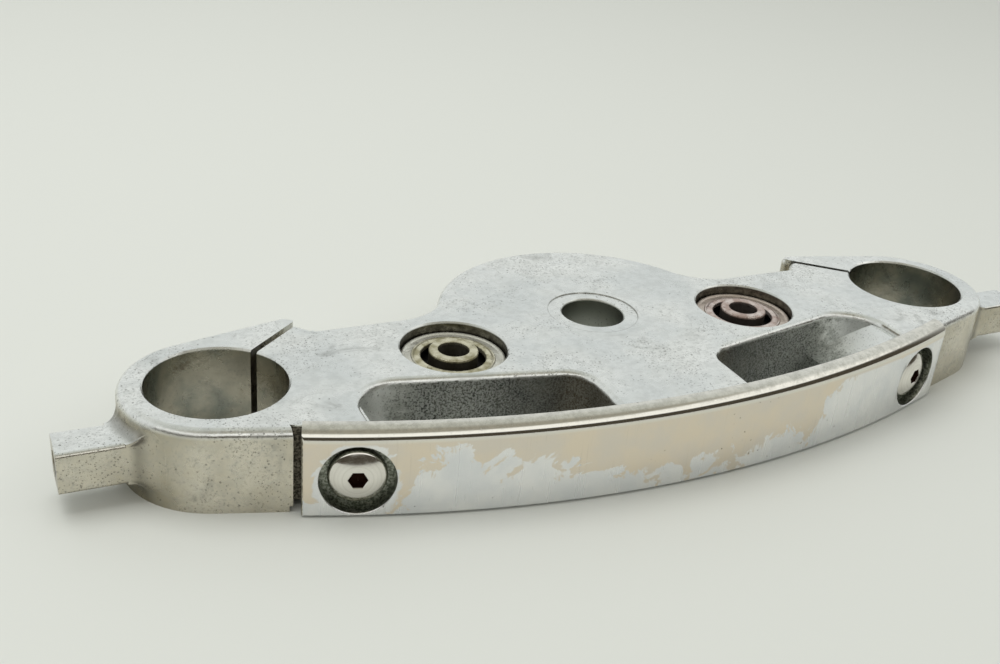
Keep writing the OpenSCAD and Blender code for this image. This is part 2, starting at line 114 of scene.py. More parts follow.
def where(tree, *parts):
    """Product of masks and soft edges. An edge is a value, where it starts and ends, and what it goes from
    and to, or else from 0 to 1."""
    whole = None
    for part in parts:
        if isinstance(part, tuple):
            value, start, end, *reach = part
            part = add(tree, "ShaderNodeMapRange", [value, start, end, *(reach or (0.0, 1.0))],
                       interpolation_type="SMOOTHSTEP")
        whole = part if whole is None else add(tree, "ShaderNodeMath", [whole, part], operation="MULTIPLY")
    return whole


def coats(tree, colour, *layers):
    """Lays colours over the first, each where its mask is 1 and at its strength. A colour is a hex string or
    another node's output."""
    for mask, strength, over in layers:
        lower, upper = (linear(c) if isinstance(c, str) else c for c in (colour, over))
        amount = add(tree, "ShaderNodeMath", [mask, strength], operation="MULTIPLY")
        colour = add(tree, "ShaderNodeMix", {0: amount, 6: lower, 7: upper}, 2, data_type="RGBA")
    return colour


def patches(tree, place, size_mm, start, end, detail=4.0, roughness=0.55, distortion=0.0, reach=(0.0, 1.0)):
    """Soft patches about size_mm wide: 0, or reach's first, where a noise is below start, and 1 above end."""
    cloud = add(tree, "ShaderNodeTexNoise", {"Vector": place, "Scale": 1 / size_mm, "Detail": detail,
                "Roughness": roughness, "Distortion": distortion})
    return where(tree, (cloud, start, end, *reach))


def pits(tree, place, pitch_mm, width_mm, patch_mm, cover):
    """Small corrosion pits at about pitch_mm that gather in patches; 1 in a pit. cover is their share."""
    shift = add(tree, "ShaderNodeTexNoise", {"Vector": place, "Scale": 2 / width_mm, "Detail": 2.0}, "Color")
    shift = add(tree, "ShaderNodeVectorMath", [shift, (0.5, 0.5, 0.5)], operation="SUBTRACT")
    frayed = add(tree, "ShaderNodeVectorMath", [shift, [1.6 * width_mm] * 3, place], operation="MULTIPLY_ADD")
    cells = add(tree, "ShaderNodeTexVoronoi", {"Vector": frayed, "Scale": 1 / pitch_mm}).node.outputs
    reach = width_mm / pitch_mm / 2
    patch = patches(tree, place, patch_mm, 0.68 - cover, 0.84 - cover, 3)
    # Each cell keeps its pit by chance, so that the spacing is uneven
    chance = add(tree, "ShaderNodeSeparateColor", [cells["Color"]])
    kept = add(tree, "ShaderNodeMath", [chance, patch], operation="LESS_THAN")
    return where(tree, (cells["Distance"], reach, reach / 2), kept)


def from_upright(tree, far, y, axis):
    """Distance from an upright axis or its mirror image."""
    flat = add(tree, "ShaderNodeCombineXYZ", [far, y])
    return add(tree, "ShaderNodeVectorMath", [flat, (*axis, 0)], "Value", operation="DISTANCE")


def from_screw(tree, far, y, z):
    """Distance from the nearer cover screw's axis, and height along it above the cover's front."""
    folded = add(tree, "ShaderNodeCombineXYZ", [far, y, z])
    arm = add(tree, "ShaderNodeVectorMath", [folded, SCREW_AT], operation="SUBTRACT")
    rise = add(tree, "ShaderNodeVectorMath", [arm, SCREW_OUT], "Value", operation="DOT_PRODUCT")
    along = add(tree, "ShaderNodeVectorMath", {0: SCREW_OUT, 3: rise}, operation="SCALE")
    return add(tree, "ShaderNodeVectorMath", [arm, along], "Value", operation="DISTANCE"), rise


# Finishes

def in_windows(tree, far, y, z, wander):
    """1 on the walls of the two windows, below their polished rims. wander moves the border, in mm."""
    rear = add(tree, "ShaderNodeMath", [far, -WINDOW_SLOPE, y], operation="MULTIPLY_ADD")
    outward = add(tree, "ShaderNodeMath", [far, wander])
    height = add(tree, "ShaderNodeMath", [wander, 0.06, z], operation="MULTIPLY_ADD")
    return where(tree, (far, WINDOW_X[0] - 0.5, WINDOW_X[0]), (far, WINDOW_X[1] + 1, WINDOW_X[1]),
                 (outward, 74, 96, 1.0, 0.3), (rear, WINDOW_REAR_Y + 0.5, WINDOW_REAR_Y + 0.1),
                 (height, TOP_Z - 0.8, TOP_Z - 2.3))


def worn_cast_aluminium():
    """Cast aluminium, polished once and now dull: cloudy pale grey with dark corrosion pits. The windows'
    walls were never polished: dark grey, rough and speckled. Dirt sits behind the cover's ends."""
    material, tree, shader = new_material("worn cast aluminium", Metallic=1.0)
    place, x, y, z, far = millimetres(tree)
    normal = add(tree, "ShaderNodeNewGeometry", out="Normal")
    facing = add(tree, "ShaderNodeSeparateXYZ", [normal]).node.outputs
    sideways = add(tree, "ShaderNodeMath", [facing["X"]], operation="ABSOLUTE")
    to_fork, to_riser, to_stem = (from_upright(tree, far, y, axis) for axis in (FORK, RISER, (0, 0)))
    cloud = patches(tree, place, 30, 0.36, 0.66)
    grain = patches(tree, place, 2.4, 0.35, 0.7, 6)

    # Walls are painted warmer and darker than the top face, as painted shade and a painted reflection of the
    # floor, darkest and brownest where they face the sides. The top face is painted paler as painted light,
    # and so is the band of wall just below the top
    top = coats(tree, "#E2E5E4", (cloud, 1, "#F5F6F3"))
    side = coats(tree, "#BBB4A2", (cloud, 1, "#D8D2C3"), (where(tree, (sideways, 0.35, 0.9)), 0.6, "#938C76"))
    colour = coats(tree, side, (where(tree, (facing["Z"], 0.35, 0.9)), 1, top),
                   (where(tree, (z, TOP_Z - 3.2, TOP_Z - 1.2)), 0.8, top), (grain, 0.22, "#A9ABA8"))

    # The fork bores have gone greyer, with brown stains, and the stem's bore is smoother. The stem's bore is
    # painted darker near its mouth and paler lower down, as painted shade and painted reflection
    bore = where(tree, (to_fork, FORK_R + 0.5, FORK_R + 0.1), (z, TOP_Z - 0.2, TOP_Z - 1.2))
    tarnish = coats(tree, "#8E938C", (patches(tree, place, 16, 0.35, 0.65, 5), 1, "#C2BDAE"),
                    (patches(tree, place, 6, 0.58, 0.72, 7, 0.65), 0.45, "#7A6850"))
    stem = where(tree, (to_stem, STEM_R + 0.3, STEM_R), (z, TOP_Z - 0.3, TOP_Z - 0.6))
    # Painted shade near the stem bore's mouth, fading to a painted reflection lower down
    painted_stem_bore_light = coats(tree, "#8C8E86", (where(tree, (z, TOP_Z - 2, TOP_Z - 14)), 1, "#EDEFEA"))

    # The walls of the riser seats are painted dark as painted shade, a fine dark line runs round the stem's
    # flat, and the hollows of the stubs' necks are painted darker as painted shade
    seat = where(tree, (to_riser, SEAT_R + 0.25, SEAT_R + 0.05), (z, TOP_Z - 0.1, TOP_Z - 0.9))
    # Painted shade on the seat walls, with a fine grain
    painted_seat_shade = coats(tree, "#4B4941", (grain, 1, "#77756B"))
    off_line = add(tree, "ShaderNodeMath", [to_stem, STEM_FLAT_R], operation="SUBTRACT")
    off_line = add(tree, "ShaderNodeMath", [off_line], operation="ABSOLUTE")
    line = where(tree, (off_line, 0.3, 0.1), patches(tree, place, 5, 0.3, 0.6, 5, reach=(0.1, 0.5)))
    # Painted shade in the necks' hollows; the dark line round the stem's flat is joined to it
    neck = where(tree, (far, FORK[0] + 22, FORK[0] + 27), (to_fork, CLAMP_R + 4.4, CLAMP_R + 1.9),
                 (to_fork, CLAMP_R - 0.1, CLAMP_R + 0.5), 0.6)
    line_and_neck_shade = add(tree, "ShaderNodeMath", [line, neck], operation="MAXIMUM")

    # Grey stains, fine grey dust in the polish, and pits of 0.5 to 0.8 mm, fainter in the fork bores
    stain = patches(tree, place, 17, 0.58, 0.76, 6, 0.6, 0.8)
    dust = where(tree, patches(tree, place, 0.9, 0.5, 0.64, 4, 0.7),
                 patches(tree, place, 30, 0.48, 0.62, 6, 0.65))
    pit = add(tree, "ShaderNodeMath", [pits(tree, place, 1.9, 0.8, 28, 0.2),
              pits(tree, place, 0.95, 0.55, 20, 0.22)], operation="MAXIMUM")
    pit = where(tree, pit, (bore, 0, 1, 1, 0.35))
    colour = coats(tree, colour, (bore, 1, tarnish), (stem, 1, painted_stem_bore_light), (seat, 1, painted_seat_shade), (line_and_neck_shade, 1, "#6B685E"),
                   (stain, 0.45, "#84847F"), (dust, 0.36, "#777975"), (pit, 0.6, "#54534D"))

    # As-cast walls, with a grain of about 0.6 mm. Where the wall is less raw, its dark grains are fewer
    wander = patches(tree, place, 5, 0.25, 0.75, 6, 0.7, reach=(-6, 6))
    cast = where(tree, in_windows(tree, far, y, z, wander), (facing["Z"], -0.6, -0.3))
    speckle = add(tree, "ShaderNodeTexNoise", {"Vector": place, "Scale": 1 / 0.6, "Detail": 4,
                  "Roughness": 0.75})
    speckle = add(tree, "ShaderNodeMath", [cast, -0.18, speckle], operation="MULTIPLY_ADD")
    speckle = where(tree, (speckle, 0.21, 0.41), (far, 36, 70, 0.35, 1.15))
    # The walls' inner ends are browner
    raw = coats(tree, "#4A4D4A", (patches(tree, place, 9, 0.35, 0.65), 1, "#6C6D66"),
                (where(tree, (far, 40, 25)), 1, "#5B5342"))
    bright = coats(tree, "#F2F4F2", (where(tree, (cast, 0.3, 0.8)), 1, "#C2C5C1"))
    raw = coats(tree, raw, (speckle, 1, bright))

    # Dirt in the joint beside the cover's ends and behind the cover
    joint = where(tree, (far, WINDOW_X[1] - 0.6, WINDOW_X[1]), (far, STEP_X + 0.06, STEP_X - 0.04),
                  (y, STEP_Y + 0.5, STEP_Y - 0.5), (z, TOP_Z - 0.3, TOP_Z - 0.8))
    crumbs = coats(tree, "#6A665B", (patches(tree, place, 0.8, 0.4, 0.62, 4, 0.7), 1, "#BDB8AA"))
    colour = coats(tree, colour, (where(tree, (cast, 0.02, 0.3)), 1, raw), (joint, 1, crumbs))
    tree.links.new(colour, shader["Base Color"])

    rough = patches(tree, place, 14, 0.3, 0.7, 5, reach=(0.2, 0.34))
    for mask, rough_there in ((cast, 0.62), (joint, 0.85), (stem, 0.38)):
        rough = add(tree, "ShaderNodeMix", {0: mask, 2: rough, 3: rough_there})
    tree.links.new(rough, shader["Roughness"])
    relief = add(tree, "ShaderNodeMath", [grain, 0.3, where(tree, speckle, cast)], operation="MULTIPLY_ADD")
    relief = add(tree, "ShaderNodeMath", [relief, pit], operation="SUBTRACT")
    bump = add(tree, "ShaderNodeBump", {"Strength": 0.3, "Distance": 0.3 * MM, "Height": relief})
    tree.links.new(bump, shader["Normal"])
    return material


# Height in mm up to which the cover's film reaches, at places along it from end to end
FILM_LINE = ((-121, 5), (-97, 4), (-90, 12), (-80, 21), (-66, 17), (-50, 13), (-34, 9), (-20, 6),
             (26, 6), (47, 8), (54, 17), (64, 27), (90, 30), (121, 30))
FILM_REACH = 40


def film_height(tree, x):
    """Height of the film's edge at x, from FILM_LINE."""
    curve = add(tree, "ShaderNodeFloatCurve", {1: where(tree, (x, -COVER_END_X, COVER_END_X))})
    # The soft ends of the edge are met by placing the points on the same curve
    places = [((at + COVER_END_X) / (2 * COVER_END_X), high / FILM_REACH) for at, high in FILM_LINE]
    places = [(t * t * (3 - 2 * t), high) for t, high in places]
    mapping = curve.node.mapping
    points = mapping.curves[0].points
    points[0].location, points[-1].location = places[0], places[-1]
    for t, high in places[1:-1]:
        points.new(t, high)
    mapping.update()
    return add(tree, "ShaderNodeMath", [curve, FILM_REACH], operation="MULTIPLY")


def patchy_chrome():
    """Chrome plate on the cover: mirror bright and warm, with a pale blue-grey film in ragged patches below,
    fine vertical scratches and dark pinholes. The pockets of the screws are dark and speckled."""
    material, tree, shader = new_material("patchy chrome plate", Metallic=1.0)
    place, x, y, z, far = millimetres(tree)
    off_axis, rise = from_screw(tree, far, y, z)

    # The film also stands as a halo round the screws' pockets, and wears off the bead
    ragged = patches(tree, place, 11, 0.2, 0.8, 10, 0.68, 0.6, (-13, 13))
    edge = add(tree, "ShaderNodeMath", [film_height(tree, x), ragged])
    edge = add(tree, "ShaderNodeMath", [edge, z], operation="SUBTRACT")
    halo = add(tree, "ShaderNodeMath", [ragged, 0.25, off_axis], operation="MULTIPLY_ADD")
    film = add(tree, "ShaderNodeMath", [where(tree, (edge, -0.7, 0.7)), where(tree, (halo, 13.4, 12.6))],
               operation="MAXIMUM")
    film = where(tree, film, (z, BEAD_Z + 0.3, BEAD_Z - 0.9))
    haze = patches(tree, place, 14, 0.35, 0.65, 6, 0.6)
    cool = coats(tree, "#E2E4E6", (haze, 1, "#EFEFEE"))

    # Upright scratches, which are finer on the real cover, stand 0.6 mm apart here so that they show
    fine = add(tree, "ShaderNodeVectorMath", [place, (1.6, 1.6, 0.05)], operation="MULTIPLY")
    scratch = where(tree, patches(tree, fine, 1.0, 0.6, 0.75, 2), (film, 0, 1, 1, 0.35))
    # The bead is less warm, with a grey bloom on top
    bead = where(tree, (z, BEAD_Z - 0.2, BEAD_Z + 1.2))
    bloom = where(tree, (z, COVER_TOP - 2.2, COVER_TOP - 0.9), patches(tree, place, 3, 0.36, 0.66, 8, 0.7))
    pit = add(tree, "ShaderNodeMath", [pits(tree, place, 3.0, 0.7, 26, 0.16),
              pits(tree, place, 1.5, 0.4, 17, 0.1)], operation="MAXIMUM")

    # Pockets, and the rough ends of the cover
    sink = where(tree, (off_axis, SINK_R + 0.25, SINK_R + 0.05), (rise, -0.25, -0.6))
    normal = add(tree, "ShaderNodeNewGeometry", out="Normal")
    sideways = add(tree, "ShaderNodeSeparateXYZ", [normal], "X")
    sideways = add(tree, "ShaderNodeMath", [sideways], operation="ABSOLUTE")
    sawn = where(tree, (sideways, 0.7, 0.88), (far, COVER_END_X - 3, COVER_END_X - 2.5))
    crust = patches(tree, place, 0.9, 0.42, 0.62, 5, 0.7)
    colour = coats(tree, "#E4D8C5", (haze, 1, "#DDD5C9"), (film, 1, cool), (bead, 0.8, "#E9E8E1"),
                   (scratch, 0.12, "#A89F90"), (bloom, 0.35, "#94948B"), (pit, 0.85, "#3B352E"),
                   (sink, 1, coats(tree, "#5F6358", (crust, 1, "#A9ACA1"))),
                   (sawn, 1, coats(tree, "#7B776C", (crust, 1, "#CFCBBE"))))
    tree.links.new(colour, shader["Base Color"])

    rough = where(tree, (film, 0.0, 1.0, 0.09, 0.26))
    for mask, more in ((scratch, 0.1), (bloom, 0.16)):
        rough = add(tree, "ShaderNodeMath", [mask, more, rough], operation="MULTIPLY_ADD")
    crusted = add(tree, "ShaderNodeMath", [sink, sawn], operation="MAXIMUM")
    tree.links.new(add(tree, "ShaderNodeMix", {0: crusted, 2: rough, 3: 0.4}), shader["Roughness"])
    return material


def bright_chrome():
    """Chromed steel screw heads: bright, a little scratched, with faint rings from turning and rust in the
    sockets. The rings stand 0.8 mm apart so that they show."""
    material, tree, shader = new_material("chromed steel", Metallic=1.0)
    place, x, y, z, far = millimetres(tree)
    off_axis, rise = from_screw(tree, far, y, z)
    socket = where(tree, (off_axis, SOCKET_R + 0.25, SOCKET_R), (rise, -0.36, -0.5))
    spots = add(tree, "ShaderNodeTexNoise", {"Vector": place, "Scale": 1 / 0.8, "Detail": 4,
                "Roughness": 0.55})
    rust = coats(tree, "#1F1612", (spots, 1, "#54372A"))
    turned = patches(tree, add(tree, "ShaderNodeCombineXYZ", [off_axis]), 0.8, 0.4, 0.7, 2)
    # The head's outer edge and foot, down in the pocket, are painted dark as painted shade
    colour = coats(tree, "#E9E6DF", (turned, 0.3, "#B4AFA3"), (where(tree, (rise, -2.7, -3.2)), 1, "#5F5D55"),
                   (socket, 1, rust))
    tree.links.new(colour, shader["Base Color"])
    polish = patches(tree, place, 4, 0.3, 0.7, 6, reach=(0.1, 0.2))
    tree.links.new(add(tree, "ShaderNodeMix", {0: socket, 2: polish, 3: 0.9}), shader["Roughness"])
    return material


def zinc_plate(name, fresh, line_and_neck_shade, rim, grime):
    """Zinc-plated steel gone blotchy: a fresh and a dull tone, a greyer outer rim, grime in spots, and a near
    black colour down in the seat and in and round the sleeve, darker deeper down."""
    material, tree, shader = new_material(name, Metallic=0.75)
    place, x, y, z, far = millimetres(tree)
    to_riser = from_upright(tree, far, y, RISER)
    blotch = patches(tree, place, 4, 0.36, 0.66, 5, 0.5)
    # Near black colour in the seat below the flange, round the sleeve's side and down its bore, darker deeper
    # down
    skirt = where(tree, (to_riser, 7.2, 7.7), (z, TOP_Z - 1.6, TOP_Z - 2.2), (to_riser, 9.5, 9.0))
    bore = where(tree, (to_riser, 5.5, 5.25), (z, TOP_Z - 1.1, TOP_Z - 2.4, 0.0, 0.9))
    deep = where(tree, (z, TOP_Z - 4.2, TOP_Z - 6.0))
    for other in (skirt, bore):
        deep = add(tree, "ShaderNodeMath", [deep, other], operation="MAXIMUM")
    spot = add(tree, "ShaderNodeMath", [pits(tree, place, 1.1, 0.7, 6, 0.2),
               patches(tree, place, 2.2, 0.6, 0.72, 6)], operation="MAXIMUM")
    spot = where(tree, spot, (to_riser, 13.0, 14.5, 1.0, 0.25))
    colour = coats(tree, fresh, (blotch, 1, line_and_neck_shade), (where(tree, (to_riser, 13.3, 14.3)), 0.85, rim),
                   (spot, 0.6, grime), (deep, 0.93, "#2A2620"))
    tree.links.new(colour, shader["Base Color"])
    spots_and_depths = add(tree, "ShaderNodeMath", [spot, deep], operation="MAXIMUM")
    rough = add(tree, "ShaderNodeMath", [where(tree, (blotch, 0.0, 1.0, 0.25, 0.42)),
                where(tree, spots_and_depths, 0.6)], operation="MAXIMUM")
    tree.links.new(rough, shader["Roughness"])
    bump = add(tree, "ShaderNodeBump", {"Strength": 0.4, "Distance": 0.2 * MM, "Height": blotch})
    tree.links.new(bump, shader["Normal"])
    return material


def two_tones(name, size_mm, detail, dark, light, **sockets):
    """A plain material that wavers between two close tones."""
    material, tree, shader = new_material(name, **sockets)
    tone = add(tree, "ShaderNodeTexNoise", {"Vector": millimetres(tree)[0], "Scale": 1 / size_mm,
               "Detail": detail, "Roughness": 0.55})
    tree.links.new(coats(tree, dark, (tone, 1, light)), shader["Base Color"])
    return material


def old_rubber():
    """Moulded rubber: nearly black, dusty."""
    return two_tones("old rubber", 6, 4, "#141312", "#2A2825", Roughness=0.75)


def plain_steel():
    """Plain steel bolts with a light oil film."""
    return two_tones("plain steel", 5, 5, "#8C8B88", "#AFAEAB", Metallic=1.0, Roughness=0.35)


finishes = {
    "upper_clamp": worn_cast_aluminium(),
    "front_cover": patchy_chrome(),
    "cover_screw": bright_chrome(),
    "bushing_cup_left": zinc_plate("yellow zinc plate", "#D0CBB4", "#9F997A", "#D5D4CC", "#4E4937"),
    "bushing_cup_right": zinc_plate("rusty zinc plate", "#D3C6C0", "#AF9A91", "#C2B6AB", "#5E443A"),
    "bushing_rubber": old_rubber(),
    "pinch_bolt": plain_steel(),
}
finishes["bushing_sleeve_left"] = finishes["bushing_cup_left"]
finishes["bushing_sleeve_right"] = finishes["bushing_cup_right"]

for name, piece in nodes.items():
    finish = finishes.get(name) or finishes[name.rsplit("_", 1)[0]]
    for slot in piece.material_slots:
        slot.material = finish

# Finer shapes in place of solids

CREASE = radians(32)


def new_piece(name, points, faces, material=None):
    """A mesh object from points in millimetres, smooth but for creases, with its normals outward."""
    mesh = bpy.data.meshes.new(name)
    mesh.from_pydata([[c * MM for c in point] for point in points], [], faces)
    form = bmesh.new()
    form.from_mesh(mesh)
    bmesh.ops.recalc_face_normals(form, faces=form.faces)
    form.to_mesh(mesh)
    form.free()
    mesh.shade_smooth()
    mesh.set_sharp_from_angle(angle=CREASE)
    piece = bpy.data.objects.new(name, mesh)
    bpy.context.scene.collection.objects.link(piece)
    if material:
        mesh.materials.append(material)
    return piece


def plain_mesh(piece, name):
    """Turns a piece's live modifiers into a plain mesh."""
    mesh = bpy.data.meshes.new_from_object(piece.evaluated_get(bpy.context.evaluated_depsgraph_get()))
    mesh.name = name
    piece.modifiers.clear()
    piece.data = mesh
    return mesh


def arc(centre, radius, start, end, steps):
    """Points of an arc in degrees."""
    turns = [radians(start + (end - start) * i / steps) for i in range(steps + 1)]
    return [(centre[0] + radius * cos(t), centre[1] + radius * sin(t)) for t in turns]


def full_turn(steps):
    """Angles round a circle."""
    return [2 * pi * k / steps for k in range(steps)]


def skin(sections, hoop=False):
    """Points, and faces between neighbouring rings of equal length. A hoop's last ring meets its first, and
    else a face closes each end."""
    n, count = len(sections[0]), len(sections)
    points = [point for section in sections for point in section]
    faces = []
    for k in range(count if hoop else count - 1):
        a, b = k * n, (k + 1) % count * n
        faces += [(a + i, a + (i + 1) % n, b + (i + 1) % n, b + i) for i in range(n)]
    if not hoop:
        faces += [tuple(range(n)), tuple(range(len(points) - n, len(points)))]
    return points, faces


def on_screw(side, radius, height, turn):
    """A point by a cover screw's axis, height above the cover's front."""
    out = Vector((side * SCREW_OUT[0], SCREW_OUT[1], 0))
    start = Vector((side * SCREW_AT[0], SCREW_AT[1], SCREW_AT[2]))
    return start + out * height + (cos(turn) * UPRIGHT.cross(out) + sin(turn) * UPRIGHT) * radius


def stand_for(piece, node):
    """The piece stands in for a CAD node: it joins the root body, and the node is hidden."""
    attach(piece, "root")
    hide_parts(node)


def sink_cutter(side):
    """Body of a screw's pocket and hole, with a rounded mouth, laid on the screw's axis."""
    core, hole, mouth, sunk, beyond = 0.01, 4.5, 0.45, 0.1, (-40, 4)
    profile = [(core, beyond[0]), (hole, beyond[0]), (hole, -SINK_DEPTH), (SINK_R, -SINK_DEPTH)]
    profile += arc((SINK_R + mouth, -mouth - sunk), mouth, 180, 90, 5)
    profile += [(SINK_R + mouth, beyond[1]), (core, beyond[1])]
    sections = [[on_screw(side, r, h, t) for r, h in profile] for t in full_turn(96)]
    return new_piece("cutter", *skin(sections, hoop=True))


def fine_cover():
    """The cover swept along its arc in short steps, so that its mirror lines run smoothly."""
    back, e = COVER_R - COVER_T, COVER_EDGE_R
    profile = [(back, COVER_FOOT)]
    profile += arc((COVER_R - e, COVER_FOOT + e), e, -90, 0, 5)
    profile += arc((COVER_R - BEAD_R, BEAD_Z), BEAD_R, 0, 90, 16)
    profile += arc((back + e, COVER_TOP - e), e, 90, 180, 5)
    # Steps along the arc, close together where the front corner is rounded at each end
    length, steps = COVER_R * asin(COVER_END_X / COVER_R), 120
    stations = [-length + e * (1 - cos(radians(15 * i))) for i in range(6)]
    stations += [-length + e + (length - e) * i / steps for i in range(1, steps)]
    stations += [0] + [-d for d in reversed(stations)]
    sections = []
    for d in stations:
        turn = d / COVER_R
        into = min(length - abs(d), e)
        front = COVER_R - e + sqrt(e * e - (e - into) ** 2)
        sections.append([(min(r, front) * sin(turn), COVER_AXIS_Y - min(r, front) * cos(turn), z)
                         for r, z in profile])
    piece = new_piece("fine_cover", *skin(sections))
    cutters = [sink_cutter(side) for side, word in SIDES]
    for cutter in cutters:
        cut = piece.modifiers.new("pocket", "BOOLEAN")
        cut.operation, cut.solver, cut.object = "DIFFERENCE", "EXACT", cutter
    mesh = plain_mesh(piece, "fine_cover")
    mesh.shade_smooth()
    mesh.set_sharp_from_angle(angle=CREASE)
    for cutter in cutters:
        bpy.data.objects.remove(cutter)
    mesh.materials.clear()
    mesh.materials.append(finishes["front_cover"])
    stand_for(piece, "front_cover")


def domed_head(side, word):
    """A cover screw: a low dome with a rounded rim and a hexagon socket, and its plain shank."""
    rim_r, ease, crown = 8.8, 1.5, 17.0
    shank_r, shank = 3.9, 10
    mouth, mouth_depth = 0.2, 0.15

    def dome(r):
        return sqrt(crown ** 2 - r ** 2) - crown

    def hexagon(t):
        return SOCKET_KEY / 2 / cos((t % (pi / 3)) - pi / 6)

    lean = asin((rim_r - ease) / (crown - ease))
    centre = ((crown - ease) * sin(lean), (crown - ease) * cos(lean) - crown)
    profile = [(r, dome(r)) for r in (3.5, 4.0, 4.6, 5.3, 6.0, 6.6, 7.2)]
    profile += arc(centre, ease, 90 - degrees(lean), 0, 14)
    profile += [(rim_r, -SINK_DEPTH), (shank_r, -SINK_DEPTH), (shank_r, -SINK_DEPTH - shank)]
    turns = full_turn(96)
    # Rings from the socket's floor up its six walls, over the dome and down the shank
    sections = [[on_screw(side, hexagon(t), -SOCKET_DEPTH, t) for t in turns],
                [on_screw(side, hexagon(t), dome(3.2) - mouth_depth, t) for t in turns],
                [on_screw(side, hexagon(t) + mouth, dome(hexagon(t) + mouth), t) for t in turns]]
    sections += [[on_screw(side, r, h, t) for t in turns] for r, h in profile]
    piece = new_piece("domed_screw_" + word, *skin(sections), finishes["cover_screw"])
    stand_for(piece, "cover_screw_" + word)


def drawn_cup(side, word):
    """The riser bushing's cup: rolled outer edge, groove, raised lip round the opening and plain wall."""
    wall_in, wall_out, foot = 15.1, 16.5, 2.8
    rim_r, roll, lip_r, opening = 17.43, 0.8, 0.7, 10.8
    top = TOP_Z - 3.4
    under, lip_z, lip_flat = top - 1.4, top - 0.4, 0.8
    profile = [(wall_in, foot), (wall_out, foot), (wall_out, under), (rim_r, under)]
    profile += arc((rim_r - roll, top - roll), roll, 0, 90, 8)
    profile += [(r, top + h) for r, h in ((16.1, -0.12), (15.75, -0.42), (15.0, -0.5), (14.1, -0.4),
                                          (13.75, -0.12), (13.3, -0.1), (13.05, 0.1))]
    profile += arc((opening + lip_r + lip_flat, lip_z), lip_r, 60, 90, 4)
    profile += arc((opening + lip_r, lip_z), lip_r, 90, 180, 6)
    profile += [(opening, under), (wall_in, under)]
    sections = [[(side * RISER[0] + r * cos(t), RISER[1] + r * sin(t), z) for r, z in profile]
                for t in full_turn(128)]
    piece = new_piece("drawn_cup_" + word, *skin(sections, hoop=True), finishes["bushing_cup_" + word])
    stand_for(piece, "bushing_cup_" + word)


# Necks of the stubs, flared into the fork clamps

STUB_W, STUB_EDGE_R, NECK_R = 13.4, 1.4, 5.2
SKIN = 0.02


def stub_section(grow):
    """The stub's rounded square in Y and Z, moved out by grow."""
    flat, reach = STUB_W / 2 - STUB_EDGE_R, STUB_EDGE_R + grow
    around = []
    for quarter, (u, v) in enumerate(((1, 1), (-1, 1), (-1, -1), (1, -1))):
        centre = (STUB_END[1] + u * flat, STUB_END[2] + v * flat)
        around += arc(centre, reach, 90 * quarter, 90 * quarter + 90, 8)
    return around


def wall_x(y):
    """Distance from the middle to the outside of the fork clamp at y."""
    return FORK[0] + sqrt(CLAMP_R ** 2 - (y - FORK[1]) ** 2)


def flared_neck(side, word):
    """A smooth flare round the stub's root, laid over the plainer neck of the solid."""
    start, lap, inside = 172.0, 1.5, 0.5
    sections = [[(x, y, z) for y, z in stub_section(grow)]
                for x, grow in ((start, -inside), (start, SKIN), (start - lap, SKIN))]
    for t in (radians(90 * k / 14) for k in range(15)):
        sections.append([(wall_x(y) + NECK_R * (1 - sin(t)) + SKIN, y, z)
                         for y, z in stub_section(SKIN + NECK_R * (1 - cos(t)))])
    sections.append([(x - lap, y, z) for x, y, z in sections[-1]])
    sections = [[(side * x, y, z) for x, y, z in section] for section in sections]
    piece = new_piece("flared_neck_" + word, *skin(sections), finishes["upper_clamp"])
    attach(piece, "root")


# Threads, which the solids leave plain

THREAD_PITCH, THREAD_DEPTH = 1.25, 0.6


def thread_tool():
    """Geometry node tree: a wedge swept along a helix that winds inwards from the end of a hole."""
    tree = bpy.data.node_groups.new("thread", "GeometryNodeTree")
    face = tree.interface
    inputs = {name: face.new_socket(name, in_out="INPUT", socket_type=kind).identifier
              for name, kind in (("Turns", "NodeSocketFloat"), ("Pitch", "NodeSocketFloat"),
                                 ("Radius", "NodeSocketFloat"), ("Depth", "NodeSocketFloat"),
                                 ("Finish", "NodeSocketMaterial"))}
    face.new_socket("Mesh", in_out="OUTPUT", socket_type="NodeSocketGeometry")
    given = add(tree, "NodeGroupInput").node.outputs
    height = add(tree, "ShaderNodeMath", [given["Turns"], given["Pitch"]], operation="MULTIPLY")
    helix = add(tree, "GeometryNodeCurveSpiral", {"Resolution": 48, "Rotations": given["Turns"],
                "Start Radius": given["Radius"], "End Radius": given["Radius"], "Height": height})
    level = add(tree, "GeometryNodeSetCurveNormal", [helix], mode="Z_UP")
    wedge = add(tree, "GeometryNodeCurvePrimitiveCircle", {"Resolution": 3, "Radius": given["Depth"]})
    swept = add(tree, "GeometryNodeCurveToMesh", {0: level, 1: wedge, "Fill Caps": True})
    real = add(tree, "GeometryNodeRealizeInstances", [swept])
    painted = add(tree, "GeometryNodeSetMaterial", {0: real, "Material": given["Finish"]})
    tree.links.new(painted, tree.nodes.new("NodeGroupOutput").inputs[0])
    return tree, inputs


